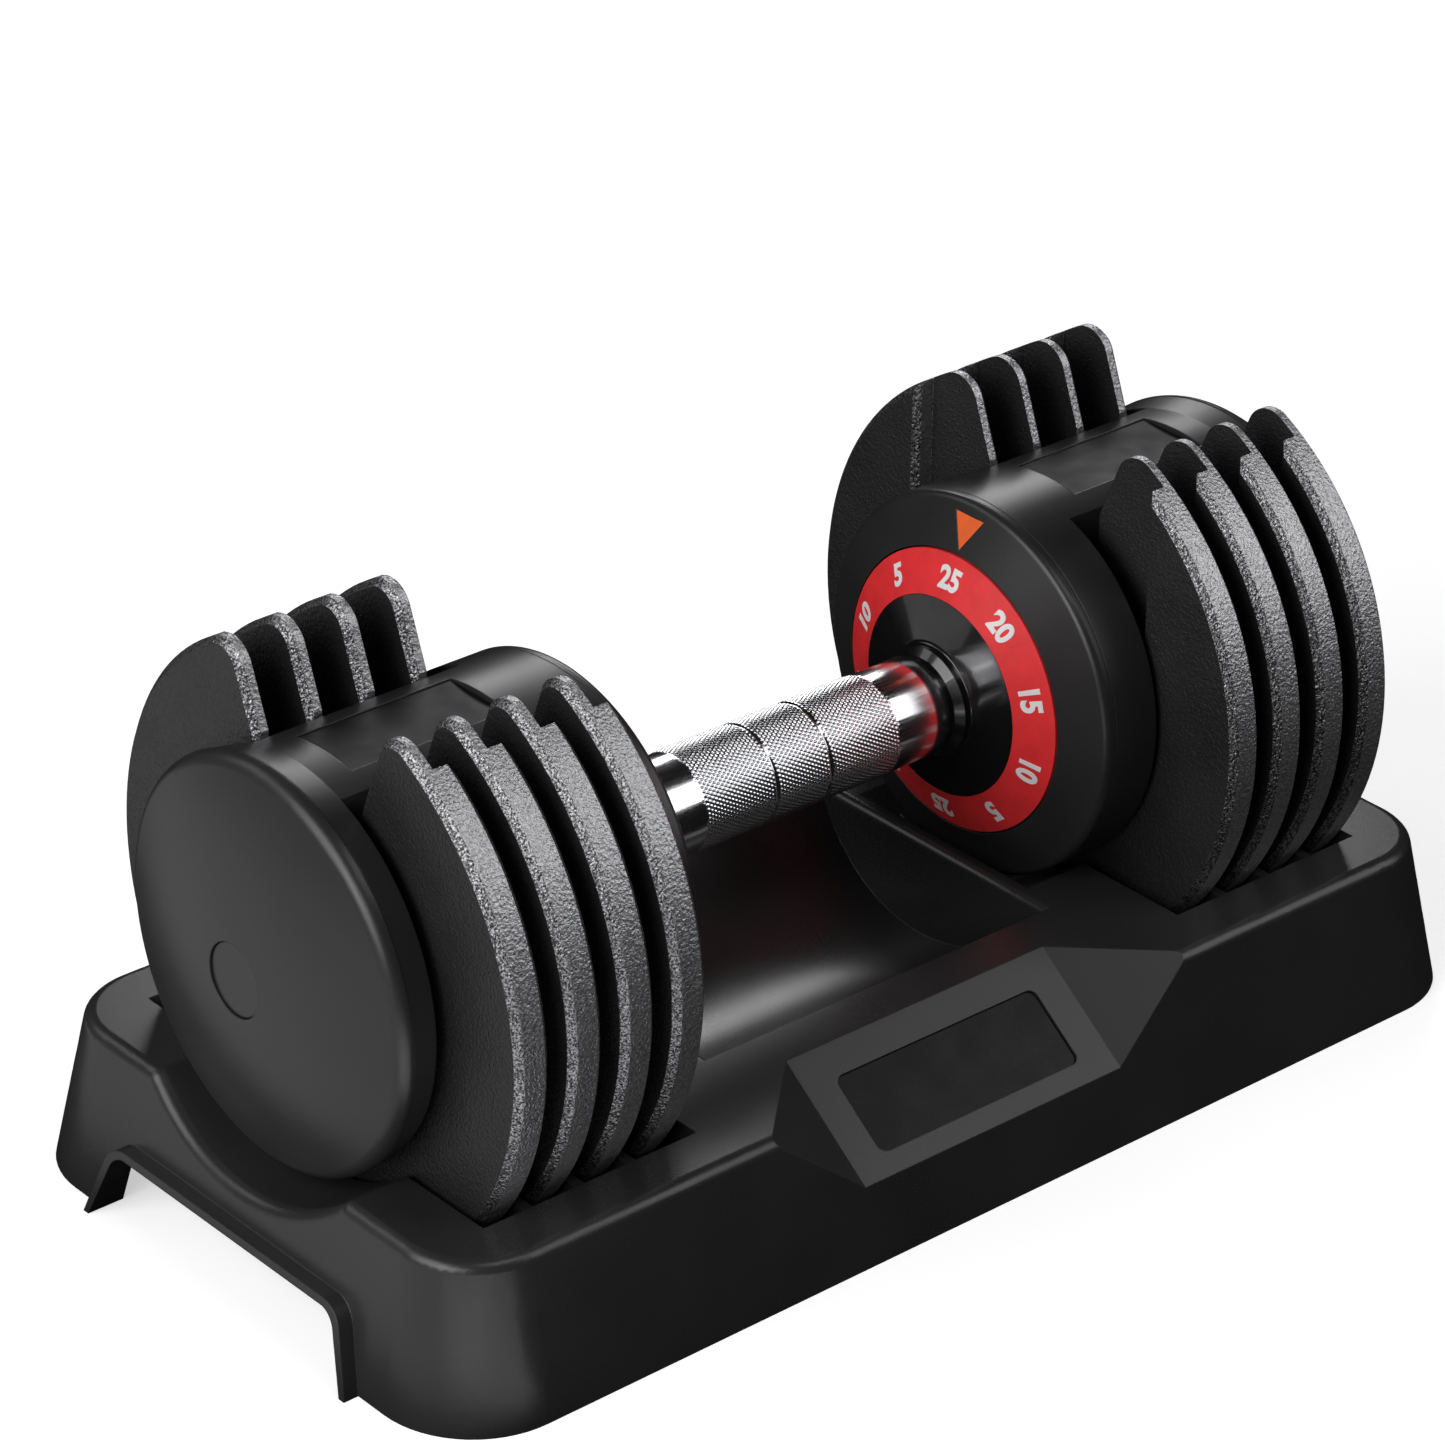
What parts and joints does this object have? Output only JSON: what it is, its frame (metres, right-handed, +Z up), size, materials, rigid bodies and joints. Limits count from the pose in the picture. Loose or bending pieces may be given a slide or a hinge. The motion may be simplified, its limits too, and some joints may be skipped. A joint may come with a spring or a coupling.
{
  "type": "adjustable dumbbell",
  "caption": "Adjustable dumbbell with a knurled grip, weight dials, slotted plates held by turning selectors, and a moulded tray to rest in.",
  "frame": {"origin": "on the floor, under the middle of the tray", "axes": "+X along the handle, +Z up, -Y towards the tray's badge panel"},
  "size_m": [0.4154, 0.2118, 0.1827],
  "materials": {
    "tray_plastic": "satin black moulded plastic, fine grain",
    "housing_plastic": "satin black moulded plastic with soft highlights",
    "badge_gloss": "gloss black, blank",
    "label_film": "gloss dark film, blank",
    "hub_gloss": "gloss black",
    "dial_red": "satin red with white numbers",
    "dial_marks": "white printed numbers",
    "pointer_orange": "satin orange",
    "grip_chrome": "satin chrome, diamond knurl between polished ends",
    "shaft_steel": "turned steel",
    "spring_steel": "bright spring wire",
    "bush_bronze": "plain turned bronze",
    "selector_plastic": "black moulded nylon",
    "plate_iron": "dark grey pebbled coating, brighter on the bevelled rims"
  },
  "bodies": {
    "tray": {"base_tray": "tray_plastic", "badge_plate": "badge_gloss"},
    "head": {"housing_right": "housing_plastic", "face_plate_right": "housing_plastic", "pointer_right": "pointer_orange", "inner_bush_right": "bush_bronze", "outer_bush_right": "bush_bronze", "label_panel_right": "label_film", "end_cap_right": "housing_plastic", "cap_button_right": "housing_plastic", "face_screws_right": "shaft_steel", "cap_screws_right": "shaft_steel", "lock_spring_right": "spring_steel", "housing_left": "housing_plastic", "face_plate_left": "housing_plastic", "pointer_left": "pointer_orange", "inner_bush_left": "bush_bronze", "outer_bush_left": "bush_bronze", "label_panel_left": "label_film", "end_cap_left": "housing_plastic", "cap_button_left": "housing_plastic", "face_screws_left": "shaft_steel", "cap_screws_left": "shaft_steel", "lock_spring_left": "spring_steel"},
    "handle": {"grip_tube": "grip_chrome", "main_shaft": "shaft_steel", "dial_hub_right": "hub_gloss", "dial_ring_right": "dial_red", "index_wheel_right": "shaft_steel", "end_washer_right": "shaft_steel", "end_nut_right": "shaft_steel", "selector_disc_1_right": "selector_plastic", "selector_disc_2_right": "selector_plastic", "selector_disc_3_right": "selector_plastic", "selector_disc_4_right": "selector_plastic", "dial_hub_left": "hub_gloss", "dial_ring_left": "dial_red", "index_wheel_left": "shaft_steel", "end_washer_left": "shaft_steel", "end_nut_left": "shaft_steel", "selector_disc_1_left": "selector_plastic", "selector_disc_2_left": "selector_plastic", "selector_disc_3_left": "selector_plastic", "selector_disc_4_left": "selector_plastic"},
    "lock_right": {"lock_slide_right": "shaft_steel"},
    "plate_1_right": {"plate_1_right": "plate_iron"},
    "plate_2_right": {"plate_2_right": "plate_iron"},
    "plate_3_right": {"plate_3_right": "plate_iron"},
    "plate_4_right": {"plate_4_right": "plate_iron"},
    "lock_left": {"lock_slide_left": "shaft_steel"},
    "plate_1_left": {"plate_1_left": "plate_iron"},
    "plate_2_left": {"plate_2_left": "plate_iron"},
    "plate_3_left": {"plate_3_left": "plate_iron"},
    "plate_4_left": {"plate_4_left": "plate_iron"}
  },
  "joints": [
    {"name": "dumbbell_lift", "type": "slide", "parent": "tray", "child": "head", "axis": [0, 0, 1], "range_m": [0, 0.15]},
    {"name": "handle_turn", "type": "hinge", "parent": "head", "child": "handle", "pos_m": [0, 0, 0.1016], "axis": [1, 0, 0], "range_deg": [-180, 180]},
    {"name": "lock_drop_right", "type": "slide", "parent": "head", "child": "lock_right", "axis": [0, 0, -1], "range_m": [0, 0.0055], "deforming": ["lock_spring_right"]},
    {"name": "plate_1_right_lift", "type": "slide", "parent": "tray", "child": "plate_1_right", "axis": [0, 0, 1], "range_m": [0, 0.15]},
    {"name": "plate_2_right_lift", "type": "slide", "parent": "tray", "child": "plate_2_right", "axis": [0, 0, 1], "range_m": [0, 0.15]},
    {"name": "plate_3_right_lift", "type": "slide", "parent": "tray", "child": "plate_3_right", "axis": [0, 0, 1], "range_m": [0, 0.15]},
    {"name": "plate_4_right_lift", "type": "slide", "parent": "tray", "child": "plate_4_right", "axis": [0, 0, 1], "range_m": [0, 0.15]},
    {"name": "lock_drop_left", "type": "slide", "parent": "head", "child": "lock_left", "axis": [0, 0, -1], "range_m": [0, 0.0055], "deforming": ["lock_spring_left"]},
    {"name": "plate_1_left_lift", "type": "slide", "parent": "tray", "child": "plate_1_left", "axis": [0, 0, 1], "range_m": [0, 0.15]},
    {"name": "plate_2_left_lift", "type": "slide", "parent": "tray", "child": "plate_2_left", "axis": [0, 0, 1], "range_m": [0, 0.15]},
    {"name": "plate_3_left_lift", "type": "slide", "parent": "tray", "child": "plate_3_left", "axis": [0, 0, 1], "range_m": [0, 0.15]},
    {"name": "plate_4_left_lift", "type": "slide", "parent": "tray", "child": "plate_4_left", "axis": [0, 0, 1], "range_m": [0, 0.15]}
  ],
  "couplings": [
    {"joint": "lock_drop_right", "follows": "dumbbell_lift", "ratio": 0.0366},
    {"joint": "plate_1_right_lift", "follows": "dumbbell_lift", "ratio": 1},
    {"joint": "plate_2_right_lift", "follows": "dumbbell_lift", "ratio": 1},
    {"joint": "plate_3_right_lift", "follows": "dumbbell_lift", "ratio": 1},
    {"joint": "plate_4_right_lift", "follows": "dumbbell_lift", "ratio": 1},
    {"joint": "lock_drop_left", "follows": "dumbbell_lift", "ratio": 0.0366},
    {"joint": "plate_1_left_lift", "follows": "dumbbell_lift", "ratio": 1},
    {"joint": "plate_2_left_lift", "follows": "dumbbell_lift", "ratio": 1},
    {"joint": "plate_3_left_lift", "follows": "dumbbell_lift", "ratio": 1},
    {"joint": "plate_4_left_lift", "follows": "dumbbell_lift", "ratio": 1}
  ]
}
